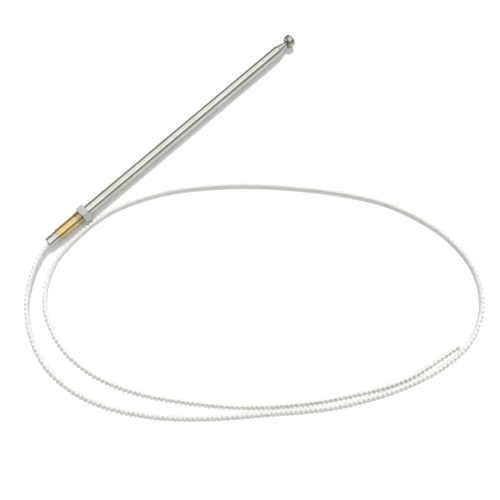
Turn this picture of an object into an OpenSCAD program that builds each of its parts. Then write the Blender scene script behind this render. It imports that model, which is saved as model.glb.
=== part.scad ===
// Collapsed telescopic mast for a motor driven aerial, with its toothed drive cord.
// Millimetres. The mast lies along +X with its button at the +X end, +Z is up,
// and the origin is on the table under the middle of the mast.

/* [Mast] */
// Length of the collapsed mast, from the ferrule's end to the top of the button
mast_l = 220; // [190:1:260]
// Outer diameter of the outer tube
tube_od = 7.5; // [6.5:0.1:9]
// Wall of every tube
wall = 0.3; // [0.25:0.01:0.32]
// Radial room between one tube and the next, taken up by the friction shells
nest_gap = 0.25; // [0.22:0.01:0.28]
// How far each tube's end stands out of the next larger one
step_out = 2.1; // [1.8:0.1:2.4]
// Length over which a tube's end is rolled in
roll_l = 1.6; // [1.2:0.1:1.7]

/* [Rod and button] */
// Radial room between the solid rod and the smallest tube's bore
rod_gap = 0.35; // [0.3:0.01:0.45]
// Free neck of the rod under the button
neck_l = 1.4; // [1:0.1:3]
// Diameter of the button
button_d = 9; // [8:0.1:10.5]
// Height of the button along the mast
button_l = 5.5; // [5:0.1:7]
// Depth of the hole in the button that the rod is riveted into
button_hole = 3.6; // [2.5:0.1:4]
// Radius of the button's rounded rim
button_round = 1.5; // [1:0.1:2]
// Depth of the dish under the button, round the rod
button_dish = 0.8; // [0.4:0.1:1.2]
// Width of the flat ring between the dish and the rounded rim
button_land = 0.3; // [0.2:0.05:0.6]
// Height of the button's domed top above its rim
button_crown = 0.7; // [0.3:0.1:1]

/* [Friction shells] */
// Length of the half shells on a tube
shell_l = 8; // [6:0.5:10]
// Length of the half shells on the rod
rod_shell_l = 5.5; // [4.5:0.5:6]
// Diameter of the dimple that locks a half shell
dimple_d = 1.2; // [0.8:0.1:1.4]
// Slit between two half shells
shell_slit = 0.5; // [0.3:0.1:0.8]
// Distance from a tube's lower end to its half shells
shell_inset = 0.5; // [0.4:0.1:1]
// Depth of the pit in the rod that a half shell's dimple sits in
rod_pit = 0.4; // [0.3:0.05:0.6]

/* [Cord anchor] */
// Wall of the anchor round its cup for the cord
anchor_wall = 0.55; // [0.4:0.01:0.6]
// Length of the anchor
anchor_l = 8; // [7.4:0.1:8.2]
// Depth of the anchor's cup for the cord's turned end
anchor_cup = 4; // [3:0.1:4.2]
// Depth of the anchor's socket for the rod
anchor_socket = 3.5; // [2.5:0.1:3.6]
// Gap between the anchor and the rod's half shells
anchor_gap = 0.3; // [0.1:0.1:0.6]

/* [Base ferrule] */
// Step from the outer tube in to the ferrule's head
ferrule_step = 0.15; // [0.05:0.01:0.2]
// Length of the ferrule's head
ferrule_l = 8; // [6:0.5:9]
// Length of the spigot that is pressed into the outer tube
spigot_l = 8; // [5:0.5:8]
// Chamfer round the ferrule's end
ferrule_chamfer = 0.5; // [0.2:0.1:0.8]

/* [Contact sleeve] */
// Wall of the rolled brass sleeve
sleeve_wall = 0.26; // [0.2:0.02:0.34]
// Length of the sleeve
sleeve_l = 15.2; // [12:0.2:16]
// Width of the sleeve's open seam
seam_w = 0.6; // [0.3:0.1:1.2]

/* [Retaining nut] */
// Wall of the hexagon at its flats, outside the running bore
nut_wall = 1.69; // [1.6:0.01:2]
// Length of the hexagon
nut_hex_l = 5; // [4.4:0.1:6]
// Wall of the nut's threaded spigot
nut_spigot_wall = 0.49; // [0.4:0.01:0.6]
// Length of the threaded spigot
nut_spigot_l = 3.9; // [3:0.1:5]
// Length of the cone that turns the hexagon's corners
nut_chamfer = 0.5; // [0.3:0.1:0.7]
// Width of the groove inside the nut
groove_w = 1.8; // [1.4:0.1:2.2]
// Depth of the groove inside the nut
groove_depth = 0.79; // [0.7:0.01:0.9]

/* [Drive cord] */
// Diameter of the cord
cord_d = 3.4; // [3.1:0.05:3.45]

/* [Clearances] */
// Radial running clearance of the half shells in their bore
shell_fit = 0.02; // [0.01:0.01:0.05]
// Radial clearance between a rolled end and the tube inside it
lip_fit = 0.06; // [0.04:0.01:0.09]
// Radial clearance of parts that are pressed or crimped together
seat_fit = 0.02; // [0.01:0.01:0.04]
// Radial running clearance of the nut on the outer tube
nut_fit = 0.06; // [0.04:0.01:0.09]
// Gap along the mast between the sleeve and the nut
nut_gap = 0.3; // [0.2:0.1:0.6]
// Clearance of the wiper ring in the nut's groove, all round
wiper_fit = 0.05; // [0.03:0.01:0.1]
// Gap between the ferrule's spigot and the first inner tube
foot_gap = 1; // [0.6:0.1:1.5]
// Radial running clearance of the anchor in the smallest tube
anchor_fit = 0.05; // [0.04:0.01:0.1]
// Radial running clearance of the cord in the ferrule
cord_fit = 0.2; // [0.1:0.01:0.4]
// Clearance of the cord's turned end in the anchor's cup
tail_fit = 0.1; // [0.05:0.01:0.15]
// Room between the bottom of the anchor's cup and the cord's end
tail_room = 0.4; // [0.2:0.1:0.8]

/* [Hidden] */
$fn = 64;

// How far a cut runs past the face that it goes through
eps = 0.5;

// Section tubes between the outer tube and the rod
sections = 3;

// Outer and inner diameter of each tube, from the outer tube inwards
function tube_od_of(i) = tube_od - 2 * i * (wall + nest_gap);
function tube_id_of(i) = tube_od_of(i) - 2 * wall;

// What runs in the smallest tube, and what fits in the anchor and the ferrule
rod_d = tube_id_of(sections) - 2 * rod_gap;
anchor_d = tube_id_of(sections) - 2 * anchor_fit;
anchor_bore = anchor_d - 2 * anchor_wall;
cord_tail_d = anchor_bore - 2 * tail_fit;
ferrule_d = tube_od - 2 * ferrule_step;
ferrule_bore = cord_d + 2 * cord_fit;

// The nut runs on the outer tube, and everything in it goes by its bore
nut_bore = tube_od + 2 * nut_fit;
nut_af = nut_bore + 2 * nut_wall;
nut_spigot_d = nut_bore + 2 * nut_spigot_wall;
groove_d = nut_bore + 2 * groove_depth;

// The mast's axis lies above the table by half of the nut, which rests on one flat
axis_z = nut_af / 2;
base_x = -mast_l / 2;

// Places along the mast, from the ferrule's end
button_s = mast_l - button_l;
small_end = button_s - neck_l;
function end_of(i) = small_end - (sections - i) * step_out;
function foot_of(i) = i == 0 ? ferrule_l : ferrule_l + spigot_l + foot_gap + (i - 1) * step_out;
function shell_top_of(i) = foot_of(i) + shell_inset + shell_l;
anchor_s = foot_of(1) + foot_gap;
rod_s = anchor_s + anchor_l - anchor_socket;
rod_shell_top = anchor_s + anchor_l + anchor_gap + rod_shell_l;
nut_s = ferrule_l + sleeve_l + nut_gap;
nut_hex_s = nut_s + nut_spigot_l;
nut_l = nut_spigot_l + nut_hex_l;
groove_s = nut_hex_s + (nut_hex_l - groove_w) / 2;

// The cord leaves the ferrule, comes down to the table, and lies there in one open
// turn and a half. The points are its centre line, and the first lies in the anchor.
CORD_ROUTE = [
    [-89, 0, 5.5], [-107, 0, 5.5], [-120, -3, 5.2], [-134, -11, 4.7], [-146, -22, 4],
    [-156, -39, 3.2], [-161, -60, 2.4], [-159, -80, 1.8], [-153, -97, 1.7], [-143, -114, 1.7],
    [-127, -134, 1.7], [-106, -154, 1.7], [-80, -175, 1.7], [-52, -197, 1.7], [-27, -212, 1.7],
    [-5, -222, 1.7], [19, -229, 1.7], [43, -230, 1.7], [65, -220, 1.7], [79, -201, 1.7],
    [83, -177, 1.7], [79, -152, 1.7], [69, -127, 1.7], [50, -99, 1.7], [23, -68, 1.7],
    [-4, -43, 1.7], [-34, -22, 1.7], [-67, -9, 1.7], [-99, -8, 1.7], [-121, -14, 1.7],
    [-138, -30, 1.7], [-146, -54, 1.7], [-144, -79, 1.7], [-134, -104, 1.7], [-117, -129, 1.7],
    [-91, -159, 1.7], [-62, -184, 1.7], [-32, -204, 1.7], [-2, -219, 1.7], [36, -227, 1.7]
];
cord_sides = 8;
cord_steps = 2;
tail_l = anchor_cup - tail_room;

// Length of the step from the cord's turned end to its full diameter, and the least
// distance from there to the next ring
tail_step = 0.2;
ring_gap = 1;

// Points of the centre line that a longer or shorter mast may cover
covered_points = 5;

// Moves along the mast to a place measured from the ferrule's end, turned to +X
module at(s) {
    translate([base_x + s, 0, axis_z]) rotate([0, 90, 0]) children();
}

// A disc or a tube along the mast
module bar(s, l, d) {
    at(s) cylinder(h = l, d = d);
}

// A drawn tube with its upper end rolled in to run on the piece inside it.
// The two sides of the roll are quarter arcs, one wall apart.
module rolled_tube(s0, s1, od, inner_d) {
    r_out = od / 2;
    r_lip = inner_d / 2 + lip_fit;
    drop = r_out - wall - r_lip;
    turns = 8;
    outer = [for (k = [0 : turns]) let (a = 90 * k / turns)
        [r_lip + (r_out - r_lip) * cos(a), s1 - s0 - roll_l + roll_l * sin(a)]];
    inner = [for (k = [turns : -1 : 0]) let (a = 90 * k / turns)
        [r_lip + drop * cos(a), s1 - s0 - roll_l + (roll_l - wall) * sin(a)]];
    at(s0) rotate_extrude() polygon(concat([[r_out - wall, 0], [r_out, 0]], outer, inner));
}

// Two opposite holes through a tube's wall, for the dimples of its half shells
module dimple_holes(i) {
    s = foot_of(i) + shell_inset + shell_l / 2;
    translate([base_x + s, 0, axis_z - tube_od])
        cylinder(h = 2 * tube_od, d = dimple_d + 2 * seat_fit);
}

// Half of a split friction bush: side is 1 for the upper half and -1 for the lower.
// bore_d is the tube that it slides in, body_d what it is clipped round,
// and dimple_depth is how far its pressed dimple reaches inwards.
module half_shell(top, l, bore_d, body_d, dimple_depth, side) {
    r_in = body_d / 2 + seat_fit;
    mid = base_x + top - l / 2;
    difference() {
        bar(top - l, l, bore_d - 2 * shell_fit);
        bar(top - l - eps, l + 2 * eps, 2 * r_in);
        translate([mid - l, -bore_d, axis_z - (side > 0 ? bore_d - shell_slit / 2 : shell_slit / 2)])
            cube([2 * l, 2 * bore_d, bore_d]);
    }
    intersection() {
        bar(top - l, l, 2 * r_in + shell_fit);
        translate([mid, 0, axis_z + (side > 0 ? r_in - dimple_depth : -r_in - eps)])
            cylinder(h = dimple_depth + eps, d = dimple_d);
    }
}

// Half shell of tube i, which slides in tube i - 1
module tube_shell(i, side) {
    half_shell(shell_top_of(i), shell_l, tube_id_of(i - 1), tube_od_of(i), wall, side);
}

// Section tube i with the holes for its half shells
module section_tube(i, inner_d) {
    difference() {
        rolled_tube(foot_of(i), end_of(i), tube_od_of(i), inner_d);
        dimple_holes(i);
    }
}

module outer_tube() {
    color("silver") rolled_tube(foot_of(0), end_of(0), tube_od_of(0), tube_od_of(1));
}

module section_tube_large() {
    color("gainsboro") section_tube(1, tube_od_of(2));
}

module section_tube_middle() {
    color("lightgray") section_tube(2, tube_od_of(3));
}

module section_tube_small() {
    color("gainsboro") section_tube(sections, rod_d);
}

module shell_large_upper() {
    color("goldenrod") tube_shell(1, 1);
}

module shell_large_lower() {
    color("goldenrod") tube_shell(1, -1);
}

module shell_middle_upper() {
    color("goldenrod") tube_shell(2, 1);
}

module shell_middle_lower() {
    color("goldenrod") tube_shell(2, -1);
}

module shell_small_upper() {
    color("goldenrod") tube_shell(3, 1);
}

module shell_small_lower() {
    color("goldenrod") tube_shell(3, -1);
}

// The rod is solid, so its half shells lock in two shallow drilled pits
module rod_shell(side) {
    half_shell(rod_shell_top, rod_shell_l, tube_id_of(sections), rod_d,
               rod_pit - seat_fit, side);
}

module shell_rod_upper() {
    color("goldenrod") rod_shell(1);
}

module shell_rod_lower() {
    color("goldenrod") rod_shell(-1);
}

module tip_rod() {
    pit_s = rod_shell_top - rod_shell_l / 2;
    color("silver") difference() {
        bar(rod_s, button_s + button_hole - rod_s, rod_d);
        for (side = [-1, 1])
            translate([base_x + pit_s, 0, axis_z + side * rod_d / 2 - rod_pit])
                cylinder(h = 2 * rod_pit, d = dimple_d + 2 * seat_fit);
    }
}

// Turned button: a dish in its underside round the rod, a rounded rim and a low dome.
// The dish's side is a quarter ellipse, and it leaves a narrow flat ring outside.
module tip_button() {
    r = button_d / 2;
    hole_r = rod_d / 2 + seat_fit;
    dish_r = r - button_round - button_land;
    shoulder = button_l - button_crown;
    dish = [for (a = [90 : -15 : 0])
        [hole_r + (dish_r - hole_r) * cos(a), button_dish * sin(a)]];
    rim = [for (a = [-90 : 15 : 0])
        [r - button_round + button_round * cos(a), button_round + button_round * sin(a)]];
    top = [for (a = [0 : 15 : 75])
        [r - button_round + button_round * cos(a), shoulder - button_round + button_round * sin(a)]];
    dome = [for (k = [0 : 6]) let (x = (r - button_round) * (1 - k / 6))
        [x, shoulder + button_crown * (1 - pow(x / (r - button_round), 2))]];
    color("silver") difference() {
        at(button_s) rotate_extrude() polygon(concat([[0, button_dish]], dish, rim, top, dome));
        bar(button_s - eps, button_hole + eps, 2 * hole_r);
    }
}

// Turned anchor: a socket for the rod at its top and a cup for the cord's end below
module cord_anchor() {
    color("darkgoldenrod") difference() {
        bar(anchor_s, anchor_l, anchor_d);
        bar(anchor_s - eps, anchor_cup + eps, anchor_bore);
        bar(rod_s, anchor_socket + eps, rod_d + 2 * seat_fit);
    }
}

// Steel ferrule: a head as long as it shows, and a spigot pressed into the tube
module base_ferrule() {
    head_r = ferrule_d / 2;
    bore_r = ferrule_bore / 2;
    spigot_r = tube_id_of(0) / 2 - seat_fit;
    c = ferrule_chamfer;
    color("silver") at(0) rotate_extrude() polygon([
        [bore_r + c, 0], [head_r - c, 0], [head_r, c], [head_r, ferrule_l],
        [spigot_r, ferrule_l], [spigot_r, ferrule_l + spigot_l - c],
        [spigot_r - c, ferrule_l + spigot_l], [bore_r, ferrule_l + spigot_l], [bore_r, c]
    ]);
}

// Brass strip rolled round the tube's foot, with its open seam below
module contact_sleeve() {
    sleeve_id = tube_od + 2 * seat_fit;
    color("gold") difference() {
        bar(ferrule_l, sleeve_l, sleeve_id + 2 * sleeve_wall);
        bar(ferrule_l - eps, sleeve_l + 2 * eps, sleeve_id);
        translate([base_x + ferrule_l - eps, -seam_w / 2, axis_z - tube_od])
            cube([sleeve_l + 2 * eps, seam_w, tube_od]);
    }
}

// Nut: a hexagon with one flat below, whose corners are turned off at both ends,
// a spigot whose thread screws into the aerial's neck, a running bore, and a groove
// for the wiper ring
module retaining_nut() {
    flat_r = nut_af / 2;
    corner_r = flat_r / cos(30);
    cone_r = corner_r + 0.01;
    color("silver") difference() {
        union() {
            intersection() {
                at(nut_hex_s) rotate([0, 0, 30])
                    cylinder(h = nut_hex_l, r = corner_r, $fn = 6);
                at(nut_hex_s) rotate_extrude() polygon([
                    [0, 0], [flat_r, 0], [cone_r, nut_chamfer],
                    [cone_r, nut_hex_l - nut_chamfer], [flat_r, nut_hex_l], [0, nut_hex_l]
                ]);
            }
            bar(nut_s, nut_spigot_l + eps, nut_spigot_d);
        }
        bar(nut_s - eps, nut_l + 2 * eps, nut_bore);
        bar(groove_s, groove_w, groove_d);
    }
}

module nut_wiper_ring() {
    color("dimgray") difference() {
        bar(groove_s + wiper_fit, groove_w - 2 * wiper_fit, groove_d - 2 * wiper_fit);
        bar(groove_s - eps, groove_w + 2 * eps, tube_od + 2 * shell_fit);
    }
}

// Point at t from 0 to 1 on the curve between b and c, with a and d as neighbours
function curve_point(a, b, c, d, t) =
    0.5 * (2 * b + (c - a) * t + (2 * a - 5 * b + 4 * c - d) * t * t
    + (3 * b - a - 3 * c + d) * t * t * t);

// Centre line of the cord: the route's points with steps between them
function cord_line(p, steps) = let (n = len(p)) concat(
    [for (i = [0 : n - 2], k = [0 : steps - 1])
        curve_point(p[max(i - 1, 0)], p[i], p[i + 1], p[min(i + 2, n - 1)], k / steps)],
    [p[n - 1]]);

// A tube swept along a line of points, with radii[i] at point i. Its rings stay
// upright, because the line hardly climbs.
module swept_tube(line, radii, sides) {
    n = len(line);
    rings = [for (i = [0 : n - 1])
        let (a = line[max(i - 1, 0)], b = line[min(i + 1, n - 1)],
            along = (b - a) / norm(b - a),
            across = cross([0, 0, 1], along) / norm(cross([0, 0, 1], along)),
            over = cross(along, across))
        for (k = [0 : sides - 1])
            let (t = 360 * (k + 0.5) / sides, r = radii[i])
            line[i] + r * cos(t) * across + r * sin(t) * over];
    walls = [for (i = [0 : n - 2], k = [0 : sides - 1])
        let (q = (k + 1) % sides)
        [(i + 1) * sides + k, (i + 1) * sides + q, i * sides + q, i * sides + k]];
    caps = [[for (k = [0 : sides - 1]) k],
            [for (k = [sides - 1 : -1 : 0]) (n - 1) * sides + k]];
    polyhedron(points = rings, faces = concat(walls, caps));
}

// The cord's end is turned down where it sits in the anchor. Of the first points,
// those that the mast covers up to there are left out.
module drive_cord() {
    line = cord_line(CORD_ROUTE, cord_steps);
    shoulder_x = base_x + anchor_s - tail_fit;
    tail = [[shoulder_x + tail_l, 0, axis_z], [shoulder_x, 0, axis_z],
            [shoulder_x - tail_step, 0, axis_z]];
    free = [for (i = [0 : len(line) - 1])
        if (i >= covered_points || line[i][0] < shoulder_x - ring_gap) line[i]];
    radii = concat([cord_tail_d / 2, cord_tail_d / 2], [for (i = [0 : len(free)]) cord_d / 2]);
    color("white") swept_tube(concat(tail, free), radii, cord_sides);
}

outer_tube();
base_ferrule();
contact_sleeve();
retaining_nut();
nut_wiper_ring();
section_tube_large();
section_tube_middle();
section_tube_small();
shell_large_upper();
shell_large_lower();
shell_middle_upper();
shell_middle_lower();
shell_small_upper();
shell_small_lower();
shell_rod_upper();
shell_rod_lower();
tip_rod();
tip_button();
cord_anchor();
drive_cord();
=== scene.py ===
"""Looks of the collapsed telescopic aerial mast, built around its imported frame.

Metres, in the frame's own axes: the mast lies along +X with its button at the +X end,
+Z is up, and the table is at z = 0.
"""
import math

import bpy
import numpy as np
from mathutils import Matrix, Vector


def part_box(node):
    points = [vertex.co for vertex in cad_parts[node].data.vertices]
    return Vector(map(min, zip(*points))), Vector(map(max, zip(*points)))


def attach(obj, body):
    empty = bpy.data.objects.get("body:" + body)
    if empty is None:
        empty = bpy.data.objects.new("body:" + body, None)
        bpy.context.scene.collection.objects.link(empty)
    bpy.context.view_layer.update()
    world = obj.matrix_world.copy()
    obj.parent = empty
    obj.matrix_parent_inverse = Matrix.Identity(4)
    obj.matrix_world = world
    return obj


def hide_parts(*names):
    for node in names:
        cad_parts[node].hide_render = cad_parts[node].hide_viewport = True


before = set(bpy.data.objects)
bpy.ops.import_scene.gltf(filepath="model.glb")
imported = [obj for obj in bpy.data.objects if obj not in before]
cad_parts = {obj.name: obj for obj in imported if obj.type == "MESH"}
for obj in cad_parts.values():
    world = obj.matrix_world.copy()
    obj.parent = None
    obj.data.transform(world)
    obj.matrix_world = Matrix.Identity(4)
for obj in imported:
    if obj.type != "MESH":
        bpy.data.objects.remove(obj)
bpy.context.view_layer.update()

# The camera looks steeply down on the table from the cord's side, as the photograph's
# did, with the mast running from the lower left to the upper right.
LOOK_AT = Vector((-0.0170, -0.0915, 0.0))
CAMERA_DISTANCE = 0.457
CAMERA_ELEVATION = math.radians(74)
CAMERA_AZIMUTH = math.radians(-43.24)
back = Vector((
    math.sin(CAMERA_AZIMUTH) * math.cos(CAMERA_ELEVATION),
    -math.cos(CAMERA_AZIMUTH) * math.cos(CAMERA_ELEVATION),
    math.sin(CAMERA_ELEVATION),
))
camera = bpy.data.objects.new("camera", bpy.data.cameras.new("camera"))
bpy.context.scene.collection.objects.link(camera)
camera.location = LOOK_AT + back * CAMERA_DISTANCE
camera.rotation_euler = (-back).to_track_quat("-Z", "Y").to_euler()
camera.data.lens = 50.4
camera.data.sensor_width = 36
camera.data.clip_start = 0.01
bpy.context.scene.camera = camera


# Drive cord: an extruded nylon cord with a rack of teeth cut across one side, which the
# motor's pinion grips. It leaves the ferrule, comes down to the table and lies there in
# an open turn and a half, with its teeth on the outside of the bend.
CORD_DIAMETER = 0.0034
TOOTH_PITCH = 0.0030
TOOTH_DEPTH = 0.00105
TAIL_DIAMETER = 0.0022
TAIL_LENGTH = 0.0036
CORD_SIDES = 22
RINGS_PER_TOOTH = 6
CORD_ROUTE = 0.001 * np.array([
    (-88.5, 0, 5.5), (-107, 0, 5.5), (-120, -3, 5.2), (-134, -11, 4.7), (-146, -22, 4),
    (-156, -39, 3.2), (-161, -60, 2.4), (-159, -80, 1.8), (-153, -97, 1.7), (-143, -114, 1.7),
    (-127, -134, 1.7), (-106, -154, 1.7), (-80, -175, 1.7), (-52, -197, 1.7), (-27, -212, 1.7),
    (-5, -222, 1.7), (19, -229, 1.7), (43, -230, 1.7), (65, -220, 1.7), (79, -201, 1.7),
    (83, -177, 1.7), (79, -152, 1.7), (69, -127, 1.7), (50, -99, 1.7), (23, -68, 1.7),
    (-4, -43, 1.7), (-34, -22, 1.7), (-67, -9, 1.7), (-99, -8, 1.7), (-121, -14, 1.7),
    (-138, -30, 1.7), (-146, -54, 1.7), (-144, -79, 1.7), (-134, -104, 1.7), (-117, -129, 1.7),
    (-91, -159, 1.7), (-62, -184, 1.7), (-32, -204, 1.7), (-2, -219, 1.7), (36, -227, 1.7),
])


def curve_through(points, steps):
    """Catmull-Rom curve: between two points it is the cubic that passes both, with each
    one's slope half of the step between that point's two neighbours."""
    p = np.vstack([points[:1], points, points[-1:]])
    a, b, c, d = (p[k:len(p) - 3 + k, None, :] for k in range(4))
    t = (np.arange(steps) / steps)[None, :, None]
    curve = 0.5 * (2 * b + (c - a) * t + (2 * a - 5 * b + 4 * c - d) * t**2
                   + (3 * b - a - 3 * c + d) * t**3)
    return np.vstack([curve.reshape(-1, 3), points[-1:]])


def evenly_spaced(line, spacing):
    """The same line with its points at whole multiples of one spacing along its length."""
    along = np.concatenate([[0], np.cumsum(np.linalg.norm(np.diff(line, axis=0), axis=1))])
    places = np.linspace(0, along[-1], int(round(along[-1] / spacing)) + 1)
    return places, np.stack([np.interp(places, along, line[:, k]) for k in range(3)], axis=1)


def grid_faces(rows, columns, first=0):
    """Four-sided faces of a grid of rows of points, where each row closes on itself."""
    r, c = np.meshgrid(np.arange(rows - 1), np.arange(columns), indexing="ij")
    following = (c + 1) % columns
    corners = (r * columns + c, r * columns + following,
               (r + 1) * columns + following, (r + 1) * columns + c)
    return first + np.stack(corners, axis=-1).reshape(-1, 4)


def new_piece(name, points, faces, body, smooth_angle=40):
    """Mesh of points and faces as a piece that rides on a body, smooth below an angle."""
    mesh = bpy.data.meshes.new(name)
    mesh.from_pydata(points.reshape(-1, 3).tolist(), [], [list(map(int, f)) for f in faces])
    mesh.validate()
    mesh.shade_smooth()
    mesh.set_sharp_from_angle(angle=math.radians(smooth_angle))
    piece = bpy.data.objects.new(name, mesh)
    bpy.context.scene.collection.objects.link(piece)
    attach(piece, body)
    return piece


def toothed_cord(line, places):
    """Ring i is a circle whose far side is cut flat at a distance d from the centre, where
    d falls from the radius to the radius less the tooth depth and back once a pitch. The
    tail, which the anchor holds, is turned down and has no teeth."""
    in_anchor = places < TAIL_LENGTH
    radius = np.where(in_anchor, TAIL_DIAMETER / 2, CORD_DIAMETER / 2)
    along = np.gradient(line, axis=0)
    along /= np.linalg.norm(along, axis=1)[:, None]
    outward = np.cross(along, (0, 0, 1.0))
    outward /= np.linalg.norm(outward, axis=1)[:, None]
    upward = np.cross(outward, along)
    lean = np.radians(32 + 10 * np.sin(places / places[-1] * 5.0))
    tooth_side = outward * np.cos(lean)[:, None] + upward * np.sin(lean)[:, None]
    other_side = upward * np.cos(lean)[:, None] - outward * np.sin(lean)[:, None]
    phase = np.abs((places / TOOTH_PITCH) % 1 - 0.5) * 2
    gap = np.where(in_anchor, 0, np.clip((0.42 - phase) / 0.30 + 0.5, 0, 1))
    flat = radius - TOOTH_DEPTH * gap
    turn = np.radians(360) * np.arange(CORD_SIDES) / CORD_SIDES
    reach = np.minimum(radius[:, None], flat[:, None] / np.maximum(np.cos(turn), 0.05)[None, :])
    rings = (line[:, None, :]
             + (reach * np.cos(turn))[..., None] * tooth_side[:, None, :]
             + (reach * np.sin(turn))[..., None] * other_side[:, None, :])
    return rings


cord_places, cord_line = evenly_spaced(curve_through(CORD_ROUTE, 24), TOOTH_PITCH / RINGS_PER_TOOTH)
rings = toothed_cord(cord_line, cord_places)
faces = [list(f) for f in grid_faces(len(rings), CORD_SIDES)]
faces.append(list(range(CORD_SIDES))[::-1])
faces.append([(len(rings) - 1) * CORD_SIDES + k for k in range(CORD_SIDES)])
cord = new_piece("toothed_drive_cord", rings, faces, "mast_foot", 50)
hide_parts("drive_cord")
ferrule_low, ferrule_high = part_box("base_ferrule")


def linear(code):
    """A hex colour as the linear colour that a shader takes."""
    shares = [int(code[k:k + 2], 16) / 255 for k in (1, 3, 5)]
    return [s / 12.92 if s <= 0.04045 else ((s + 0.055) / 1.055) ** 2.4 for s in shares] + [1.0]


def node(tree, kind, settings=None, inputs=None):
    """Adds a node, sets its properties, and sets or links its inputs by name or number."""
    made = tree.nodes.new(kind)
    for name, value in (settings or {}).items():
        setattr(made, name, value)
    for name, value in (inputs or {}).items():
        if isinstance(value, bpy.types.NodeSocket):
            tree.links.new(value, made.inputs[name])
        else:
            made.inputs[name].default_value = value
    return made


def new_material(name):
    """An empty node material and its tree, with the output node in it."""
    material = bpy.data.materials.new(name)
    material.use_nodes = True
    material.node_tree.nodes.clear()
    output = node(material.node_tree, "ShaderNodeOutputMaterial")
    return material, material.node_tree, output.inputs["Surface"]


def wear(material, *pieces):
    """Gives pieces one material in place of those that they have."""
    for piece in pieces:
        piece.data.materials.clear()
        piece.data.materials.append(material)


# Natural nylon, extruded: milky and waxy, so light goes a little way in and the teeth's
# edges are soft, with faint long streaks from the die.
DIE_STREAK = 0.004
NYLON_GRAIN = 0.00045
nylon, tree, surface = new_material("natural_nylon")
place = node(tree, "ShaderNodeTexCoord").outputs["Object"]
streaks = node(tree, "ShaderNodeTexNoise", inputs={
    "Vector": place, "Scale": 1 / DIE_STREAK, "Detail": 3.0})
tint = node(tree, "ShaderNodeValToRGB", inputs={"Fac": streaks.outputs["Fac"]})
tint.color_ramp.elements[0].color = linear("#E4E4DF")
tint.color_ramp.elements[1].color = linear("#F2F2EE")
grain = node(tree, "ShaderNodeTexNoise", inputs={
    "Vector": place, "Scale": 1 / NYLON_GRAIN, "Detail": 2.0})
bump = node(tree, "ShaderNodeBump", inputs={
    "Height": grain.outputs["Fac"], "Strength": 0.12, "Distance": 0.0001})
shader = node(tree, "ShaderNodeBsdfPrincipled", inputs={
    "Base Color": tint.outputs["Color"], "Roughness": 0.38, "IOR": 1.53,
    "Subsurface Weight": 0.12, "Subsurface Radius": (0.0012, 0.0012, 0.001),
    "Subsurface Scale": 1.0, "Normal": bump.outputs["Normal"]})
tree.links.new(shader.outputs["BSDF"], surface)
wear(nylon, cord)


# Base ferrule: a short steel bush, turned from bar and pressed into the tube's foot.
# It closes the mast and guides the cord, so its mouth is countersunk.
mast_low, mast_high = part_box("outer_tube")
AXIS_Z = (mast_low.z + mast_high.z) / 2
FERRULE_BORE = 0.0038
FERRULE_SPIGOT = 0.00686
FERRULE_CHAMFER = 0.0005
EDGE = 0.00012


def softened(corners, radius, steps=3):
    """Closed outline with each corner cut back by the radius along both its sides and
    bridged by a parabola: (1-t)^2 start + 2t(1-t) corner + t^2 end."""
    p = np.array(corners, float)
    before, after = np.roll(p, 1, axis=0) - p, np.roll(p, -1, axis=0) - p
    reach = [np.minimum(radius, 0.45 * np.linalg.norm(v, axis=1))[:, None] for v in (before, after)]
    start = p + before / np.linalg.norm(before, axis=1)[:, None] * reach[0]
    end = p + after / np.linalg.norm(after, axis=1)[:, None] * reach[1]
    t = np.linspace(0, 1, steps + 1)[None, :, None]
    rounded = (1 - t)**2 * start[:, None] + 2 * t * (1 - t) * p[:, None] + t**2 * end[:, None]
    return rounded.reshape(-1, 2)


def turned(outline, sides=96):
    """Point (x, r) of a closed outline, turned by t about the mast's axis, lies at
    (x, r sin t, axis height + r cos t)."""
    t = np.radians(360) * np.arange(sides) / sides
    x, r = outline[:, 0, None], outline[:, 1, None]
    points = np.stack([x + 0 * t, r * np.sin(t), AXIS_Z + r * np.cos(t)], axis=-1)
    return points, closed_grid_faces(len(outline), sides)


def closed_grid_faces(rows, columns):
    """Faces of a grid whose rows and columns both close on themselves."""
    faces = grid_faces(rows + 1, columns)
    return faces % (rows * columns)


head_r = (ferrule_high.z - ferrule_low.z) / 2
points, faces = turned(softened([
    (ferrule_low.x, FERRULE_BORE / 2 + FERRULE_CHAMFER),
    (ferrule_low.x, head_r - FERRULE_CHAMFER), (ferrule_low.x + FERRULE_CHAMFER, head_r),
    (mast_low.x, head_r), (mast_low.x, FERRULE_SPIGOT / 2),
    (ferrule_high.x - FERRULE_CHAMFER, FERRULE_SPIGOT / 2),
    (ferrule_high.x, FERRULE_SPIGOT / 2 - FERRULE_CHAMFER), (ferrule_high.x, FERRULE_BORE / 2),
    (ferrule_low.x + FERRULE_CHAMFER, FERRULE_BORE / 2)], EDGE))
ferrule = new_piece("turned_base_ferrule", points, faces, "mast_foot")
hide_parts("base_ferrule")


TONE_PATCH = 0.0125


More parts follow.
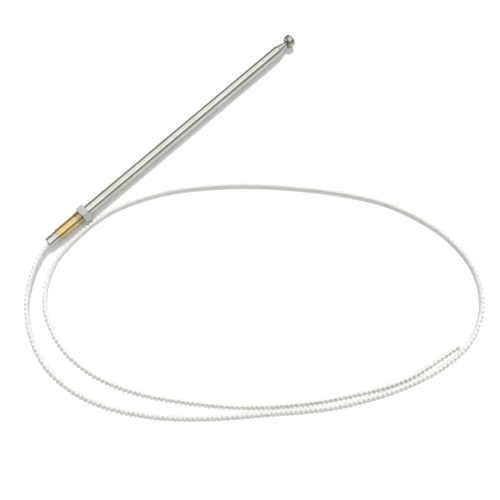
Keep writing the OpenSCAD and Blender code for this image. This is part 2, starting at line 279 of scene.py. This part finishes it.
def metal(name, pale, dark, roughness, lines, line_depth, anisotropy=0.0):
    """A polished metal: its colour wanders between two tones in patches, and its surface
    has fine lines, whose sizes along x, y and z are in metres."""
    material, tree, surface = new_material(name)
    place = node(tree, "ShaderNodeTexCoord").outputs["Object"]
    patches = node(tree, "ShaderNodeTexNoise", inputs={
        "Vector": place, "Scale": 1 / TONE_PATCH, "Detail": 4.0})
    tone = node(tree, "ShaderNodeValToRGB", inputs={"Fac": patches.outputs["Fac"]})
    tone.color_ramp.elements[0].position = 0.35
    tone.color_ramp.elements[0].color = linear(dark)
    tone.color_ramp.elements[1].position = 0.65
    tone.color_ramp.elements[1].color = linear(pale)
    stretched = node(tree, "ShaderNodeMapping", inputs={
        "Vector": place, "Scale": [1 / size for size in lines]})
    marks = node(tree, "ShaderNodeTexNoise", inputs={
        "Vector": stretched.outputs["Vector"], "Scale": 1.0, "Detail": 5.0, "Roughness": 0.6})
    polish = node(tree, "ShaderNodeMapRange", inputs={
        "Value": marks.outputs["Fac"], "To Min": 0.7 * roughness, "To Max": 1.3 * roughness})
    bump = node(tree, "ShaderNodeBump", inputs={
        "Height": marks.outputs["Fac"], "Strength": line_depth, "Distance": 0.0001})
    shader = node(tree, "ShaderNodeBsdfPrincipled", inputs={
        "Base Color": tone.outputs["Color"], "Metallic": 1.0,
        "Roughness": polish.outputs["Result"], "Anisotropic": anisotropy,
        "Normal": bump.outputs["Normal"]})
    tree.links.new(shader.outputs["BSDF"], surface)
    return material


# Stainless bar, turned and lightly polished: a cool grey with fine rings from the tool
# across the mast. They are drawn 0.16 mm apart, coarser than real ones, so that they show.
TURNED_RINGS = (0.00016, 0.016, 0.016)
stainless = metal("turned_stainless", "#BFBEBA", "#B1B0AB", 0.10, TURNED_RINGS, 0.05)
wear(stainless, ferrule)


# Outer tube and the three section tubes: thin drawn tube, nickel plated and polished. The
# upper end of each is rolled in, so that the next tube's half shells can't pull out.
TUBE_WALL = 0.0003
ROLL_LENGTH = 0.0016
LIP_CLEARANCE = 0.00006
ROLL_STEPS = 12
TUBES = ["outer_tube", "section_tube_large", "section_tube_middle", "section_tube_small"]
rod_low, rod_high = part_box("tip_rod")


def rolled_tube(low, high, inner_r):
    """Outline of a tube's wall: both sides run straight, and then turn in along quarter
    ellipses, one wall apart, to just clear the piece inside it."""
    r = (high.z - low.z) / 2
    lip = inner_r + LIP_CLEARANCE
    start = high.x - ROLL_LENGTH
    t = np.linspace(0, math.pi / 2, ROLL_STEPS)
    outside = np.stack([start + ROLL_LENGTH * np.sin(t), lip + (r - lip) * np.cos(t)], axis=1)
    inside = np.stack([start + (ROLL_LENGTH - TUBE_WALL) * np.sin(t),
                       lip + (r - TUBE_WALL - lip) * np.cos(t)], axis=1)[::-1]
    foot = np.array([(low.x, r - TUBE_WALL + EDGE / 2), (low.x + EDGE / 2, r - TUBE_WALL),
                     (low.x + EDGE / 2, r), (low.x, r - EDGE / 2)])
    return np.vstack([foot[2:][::-1], outside, inside, foot[:2][::-1]])


# Bright nickel over drawn tube: a warm grey mirror with long drawing lines, which are
# drawn 0.3 mm wide, coarser than real ones, so that they show.
DRAWN_LINES = (0.040, 0.0003, 0.0003)
nickel = metal("bright_nickel_plate", "#C4C3BB", "#BAB9B1", 0.07, DRAWN_LINES, 0.05)
inner_radii = [(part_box(n)[1].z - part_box(n)[0].z) / 2 for n in TUBES[1:] + ["tip_rod"]]
points, faces = turned(rolled_tube(mast_low, mast_high, inner_radii[0]), 128)
outer_tube = new_piece("plated_outer_tube", points, faces, "mast_foot")
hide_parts("outer_tube")
wear(nickel, outer_tube, *[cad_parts[n] for n in TUBES[1:]])


# Contact sleeve: a strip of brass rolled round the tube's foot, which carries the signal
# to the motor unit. Its edges meet in an open seam underneath.
SLEEVE_WALL = 0.00026
SLEEVE_SEAM = 0.0006
sleeve_low, sleeve_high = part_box("contact_sleeve")
sleeve_r = (sleeve_high.y - sleeve_low.y) / 2


def rolled_strip(x0, x1, outer_r, wall, seam, sides=120, edge=0.00006):
    """A C-shaped section carried from x0 to x1: the outer arc from one side of the seam
    to the other, then the inner arc back, each drawn in by the edge at both ends."""
    half = seam / 2 / outer_r
    t = np.linspace(math.pi + half, 3 * math.pi - half, sides)
    arc = np.concatenate([t, t[::-1]])
    inset = np.array([edge, 0, 0, edge])[:, None]
    x = np.array([x0, x0 + edge, x1 - edge, x1])[:, None]
    is_outer = (np.arange(2 * sides) < sides)[None, :]
    r = np.where(is_outer, outer_r - inset, outer_r - wall + inset)
    points = np.stack([x + 0 * arc, r * np.sin(arc), AXIS_Z + r * np.cos(arc)], axis=-1)
    k = np.arange(sides - 1)
    lid = np.stack([k, k + 1, 2 * sides - 2 - k, 2 * sides - 1 - k], axis=1)
    return points, np.vstack([grid_faces(4, 2 * sides), lid, lid[:, ::-1] + 6 * sides])


points, faces = rolled_strip(sleeve_low.x, sleeve_high.x, sleeve_r, SLEEVE_WALL, SLEEVE_SEAM)
sleeve = new_piece("rolled_brass_sleeve", points, faces, "mast_foot")
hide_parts("contact_sleeve")

# Rolled brass strip: a warm yellow that has gone a little dull in patches, with the
# mill's lines round the sleeve, drawn 0.4 mm wide so that they show.
MILL_LINES = (0.0004, 0.025, 0.025)
brass = metal("rolled_brass", "#C8B684", "#B8A372", 0.10, MILL_LINES, 0.06)
wear(brass, sleeve)


# Retaining nut: a hexagon with a threaded spigot, turned from brass bar. The hexagon is
# chrome plated, and the spigot, which screws into the aerial's neck, is bare brass.
NUT_FLATS = 0.0110
NUT_BORE = 0.00762
HEX_LENGTH = 0.0050
HEX_CONE = 0.0005
HEX_CORNER = 0.00025
SPIGOT_R = 0.0043
THREAD_PITCH = 0.0005
THREAD_DEPTH = 0.00008
GROOVE_R = 0.0046
GROOVE_WIDTH = 0.0018
nut_low, nut_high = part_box("retaining_nut")


def hexagon_radius(t):
    """Radius at angle t of a hexagon with a flat at t = 0, whose corners are rounded: on
    a flat it is the apothem over the cosine, and on a corner that corner's circle."""
    apothem, third = NUT_FLATS / 2, math.radians(60)
    d = np.abs((t + third / 2) % third - third / 2)
    inner = apothem - HEX_CORNER
    centre = inner / math.cos(third / 2)
    off = centre * np.sin(third / 2 - d)
    on_corner = centre * np.cos(third / 2 - d) + np.sqrt(np.maximum(HEX_CORNER**2 - off**2, 0))
    on_flat = np.tan(d) * apothem <= inner * math.tan(third / 2)
    return np.where(on_flat, apothem / np.cos(d), on_corner)


def nut_surface():
    """At each angle one closed outline: out along the spigot's thread, a triangle wave
    that climbs a pitch a turn, over the hexagon with a cone at each end, back down the
    bore and through the wiper ring's groove."""
    corner = np.linspace(-1.6, 1.6, 5)
    sector = np.radians(np.concatenate([corner, np.linspace(4, 56, 14)]))
    t = (np.radians(30) + sector[None, :] + np.radians(60) * np.arange(6)[:, None]).ravel()
    x0, x1 = nut_low.x, nut_high.x
    hex_x = x1 - HEX_LENGTH
    flat_r = NUT_FLATS / 2
    wide = hexagon_radius(t)
    rise = HEX_CONE * (wide - flat_r) / (wide.max() - flat_r)
    thread_x = np.linspace(x0 + 0.0003, hex_x - 0.0001, 61)[:, None]
    wave = np.abs(((thread_x - x0) / THREAD_PITCH - t / math.radians(360)) % 1 - 0.5) * 2
    thread_r = SPIGOT_R - THREAD_DEPTH * wave
    one = np.ones_like(t)
    bore = NUT_BORE / 2
    groove_x = hex_x + (HEX_LENGTH - GROOVE_WIDTH) / 2
    rows = [(x0 * one, (bore + 0.0001) * one), (x0 * one, (SPIGOT_R - THREAD_DEPTH) * one)]
    rows += [(x * one, r) for x, r in zip(thread_x, thread_r)]
    rows += [(hex_x * one, (SPIGOT_R - THREAD_DEPTH) * one), (hex_x * one, (flat_r - 0.0002) * one),
             (hex_x + rise, wide - 0.00004), (hex_x + rise + 0.00008, wide),
             (x1 - rise - 0.00008, wide), (x1 - rise, wide - 0.00004),
             (x1 * one, (flat_r - 0.0002) * one), (x1 * one, (bore + 0.0003) * one),
             ((x1 - 0.0003) * one, bore * one), ((groove_x + GROOVE_WIDTH) * one, bore * one),
             ((groove_x + GROOVE_WIDTH) * one, GROOVE_R * one), (groove_x * one, GROOVE_R * one),
             (groove_x * one, bore * one), ((x0 + 0.0001) * one, bore * one)]
    x, r = (np.array([row[k] for row in rows]) for k in range(2))
    points = np.stack([x, r * np.sin(t), AXIS_Z + r * np.cos(t)], axis=-1)
    return points, closed_grid_faces(len(rows), len(t)), hex_x


points, faces, hex_x = nut_surface()
nut = new_piece("plated_hexagon_nut", points, faces, "nut", 25)
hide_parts("retaining_nut")

# Chrome over machined brass: a neutral mirror with the low waves that polishing leaves.
# The spigot is bare turned brass, browner and duller than the sleeve.
POLISH_WAVES = (0.016, 0.0032, 0.0032)
chrome = metal("chrome_plate", "#AFAEAB", "#9F9E9B", 0.06, POLISH_WAVES, 0.03)
bare_brass = metal("bare_turned_brass", "#BAA682", "#A7926C", 0.22, TURNED_RINGS, 0.06)
wear(chrome, nut)
nut.data.materials.append(bare_brass)
for face in nut.data.polygons:
    face.material_index = int(face.center.x < hex_x - 0.0002)


# Wiper ring: soft rubber in the nut's groove, which keeps rain out and dirt off the mast.
# Only its edge could be seen, inside the nut.
RUBBER_BLOOM = 0.0011
rubber, tree, surface = new_material("wiper_rubber")
place = node(tree, "ShaderNodeTexCoord").outputs["Object"]
bloom = node(tree, "ShaderNodeTexNoise", inputs={
    "Vector": place, "Scale": 1 / RUBBER_BLOOM, "Detail": 3.0})
tint = node(tree, "ShaderNodeValToRGB", inputs={"Fac": bloom.outputs["Fac"]})
tint.color_ramp.elements[0].color = linear("#1B1B1C")
tint.color_ramp.elements[1].color = linear("#2C2C2D")
shader = node(tree, "ShaderNodeBsdfPrincipled", inputs={
    "Base Color": tint.outputs["Color"], "Roughness": 0.7})
tree.links.new(shader.outputs["BSDF"], surface)
wear(rubber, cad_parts["nut_wiper_ring"])


# Friction half shells and cord anchor: pressed spring brass and turned brass, inside the
# tubes. Each pair grips its section at two dimples and runs in the next larger tube.
PRESSED_WAVES = (0.0032, 0.0032, 0.0032)
spring_brass = metal("pressed_spring_brass", "#C8B068", "#B09350", 0.24, PRESSED_WAVES, 0.08)
wear(spring_brass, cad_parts["cord_anchor"],
     *[o for n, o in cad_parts.items() if n.startswith("shell_")])


# Rod and button: the rod is solid stainless wire. The button is turned, riveted on its
# end and polished, and it caps the mast when that is wound down.
BUTTON_HOLE = 0.0036
BUTTON_ROUND = 0.0015
BUTTON_DISH = 0.0008
BUTTON_LAND = 0.0003
BUTTON_CROWN = 0.0007
button_low, button_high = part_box("tip_button")
button_r = (button_high.z - button_low.z) / 2
rod_r = (rod_high.z - rod_low.z) / 2 + 0.00002
flat_r = button_r - BUTTON_ROUND
dish_r = flat_r - BUTTON_LAND
shoulder = button_high.x - BUTTON_CROWN
lower = np.linspace(-math.pi / 2, 0, 14)
upper = np.linspace(0, math.pi / 2 * 0.92, 13)
dome = flat_r * np.linspace(1, 0.02, 14)
bowl = np.linspace(math.pi / 2, 0, 10)
outline = np.vstack([
    np.stack([button_low.x + BUTTON_DISH * np.sin(bowl), rod_r + (dish_r - rod_r) * np.cos(bowl)], axis=1),
    np.stack([button_low.x + BUTTON_ROUND * (1 + np.sin(lower)), flat_r + BUTTON_ROUND * np.cos(lower)], axis=1),
    np.stack([shoulder - BUTTON_ROUND * (1 - np.sin(upper)), flat_r + BUTTON_ROUND * np.cos(upper)], axis=1),
    np.stack([shoulder + BUTTON_CROWN * (1 - (dome / flat_r)**2), dome], axis=1),
    [(button_low.x + BUTTON_HOLE, 0.02 * flat_r), (button_low.x + BUTTON_HOLE, rod_r)]])
points, faces = turned(outline)
button = new_piece("turned_tip_button", points, faces, "tip_section")
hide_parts("tip_button")
polished = metal("polished_stainless", "#A8A6A0", "#98968F", 0.06, TURNED_RINGS, 0.04)
wear(polished, button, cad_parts["tip_rod"])


# Table and studio: a plain white table under even light, with a large soft lamp to the
# upper left, so the shadow falls on the side where the cord lies.
table_mesh = bpy.data.meshes.new("table")
table_mesh.from_pydata([(-6, -6, 0), (6, -6, 0), (6, 6, 0), (-6, 6, 0)], [], [(0, 1, 2, 3)])
table = bpy.data.objects.new("table", table_mesh)
bpy.context.scene.collection.objects.link(table)
TABLE_LIFT = 0.14
white_table, tree, surface = new_material("white_table")
rays = node(tree, "ShaderNodeLightPath")
seen = node(tree, "ShaderNodeMath", {"operation": "MAXIMUM"},
            {0: rays.outputs["Is Camera Ray"], 1: rays.outputs["Is Glossy Ray"]})
seen = node(tree, "ShaderNodeMath", {"operation": "MAXIMUM"},
            {0: seen.outputs[0], 1: rays.outputs["Is Transmission Ray"]})
lift = node(tree, "ShaderNodeMath", {"operation": "MULTIPLY"}, {0: seen.outputs[0], 1: TABLE_LIFT})
paper = node(tree, "ShaderNodeBsdfDiffuse", inputs={"Color": linear("#F6F6F6")})
glow = node(tree, "ShaderNodeEmission", inputs={
    "Color": linear("#FFFFFF"), "Strength": lift.outputs[0]})
both = node(tree, "ShaderNodeAddShader", inputs={0: paper.outputs[0], 1: glow.outputs[0]})
tree.links.new(both.outputs[0], surface)
wear(white_table, table)

# Round the table: two bright panels overhead, grey beyond them and a dark gap beside the
# bright part, all square to the camera, which the metal shows as long lines.
PANELS_TURN = math.atan(0.6)
TABLE_LIGHT = 0.88
PANEL_LEVEL = 1.75
PANEL_END = (0.60, 0.88)
BEYOND_END = 0.3
PANEL_STOPS = [
    (-180, "#B0B0B0"), (-88, "#B0B0B0"), (-74, "#A2A2A2"), (-64, "#7E7E7E"), (-54, "#7A7A7A"),
    (-46, "#989898"), (-38, "#D8D8D8"), (-31, "#FFFFFF"), (-14, "#FFFFFF"), (-8, "#E4E4E4"),
    (0, "#DCDCDC"), (7, "#EEEEEE"), (14, "#F8F8F8"), (24, "#F4F4F4"), (31, "#DCDCDC"),
    (39, "#A8A8A8"), (50, "#848484"), (72, "#7E7E7E"), (96, "#7E7E7E"), (130, "#B0B0B0"), (180, "#B0B0B0"),
]
world = bpy.data.worlds.new("studio")
bpy.context.scene.world = world
world.use_nodes = True
tree = world.node_tree
tree.nodes.clear()
direction = node(tree, "ShaderNodeTexCoord").outputs["Generated"]
turned_room = node(tree, "ShaderNodeMapping", {"vector_type": "TEXTURE"},
                   {"Vector": direction, "Rotation": (0.0, 0.0, PANELS_TURN)})
parts = node(tree, "ShaderNodeSeparateXYZ", inputs={"Vector": turned_room.outputs["Vector"]})
angle = node(tree, "ShaderNodeMath", {"operation": "ARCTAN2"},
             {0: parts.outputs["Y"], 1: parts.outputs["Z"]})
share = node(tree, "ShaderNodeMapRange", inputs={
    "Value": angle.outputs[0], "From Min": -math.pi, "From Max": math.pi})
panels = node(tree, "ShaderNodeValToRGB", inputs={"Fac": share.outputs["Result"]})
ramp = panels.color_ramp
while len(ramp.elements) < len(PANEL_STOPS):
    ramp.elements.new(0.5)
for stop, (degrees, code) in zip(ramp.elements, PANEL_STOPS):
    stop.position = (degrees + 180) / 360
    stop.color = linear(code)
sideways = node(tree, "ShaderNodeMath", {"operation": "ABSOLUTE"}, {0: parts.outputs["X"]})
ends = node(tree, "ShaderNodeMapRange", inputs={
    "Value": sideways.outputs[0], "From Min": PANEL_END[0], "From Max": PANEL_END[1],
    "To Min": 1.0, "To Max": BEYOND_END})
rays = node(tree, "ShaderNodeLightPath")
level = node(tree, "ShaderNodeMapRange", inputs={
    "Value": rays.outputs["Is Glossy Ray"], "To Min": TABLE_LIGHT, "To Max": PANEL_LEVEL})
strength = node(tree, "ShaderNodeMath", {"operation": "MULTIPLY"},
                {0: level.outputs["Result"], 1: ends.outputs["Result"]})
room = node(tree, "ShaderNodeBackground", inputs={
    "Color": panels.outputs["Color"], "Strength": strength.outputs[0]})
paper = node(tree, "ShaderNodeBackground", inputs={"Color": linear("#FFFFFF"), "Strength": 1.0})
seen = node(tree, "ShaderNodeMixShader", inputs={
    0: rays.outputs["Is Camera Ray"], 1: room.outputs[0], 2: paper.outputs[0]})
output = node(tree, "ShaderNodeOutputWorld", inputs={"Surface": seen.outputs[0]})

# The key lamp is high, beyond the mast and towards its button, so the shadows fall on the
# side where the cord lies. The metal shows the panels and not this lamp.
LAMP_FROM = Vector((0.44, 0.29, 1.0))
LAMP_SPREAD = math.radians(13)
LAMP_STRENGTH = 2.2
lamp = bpy.data.lights.new("key_lamp", "SUN")
lamp.angle = LAMP_SPREAD
lamp.energy = LAMP_STRENGTH
lamp_object = bpy.data.objects.new("key_lamp", lamp)
bpy.context.scene.collection.objects.link(lamp_object)
lamp_object.location = LAMP_FROM
lamp_object.rotation_euler = LAMP_FROM.to_track_quat("Z", "Y").to_euler()
lamp_object.visible_glossy = False
bpy.context.scene.view_settings.view_transform = "Standard"
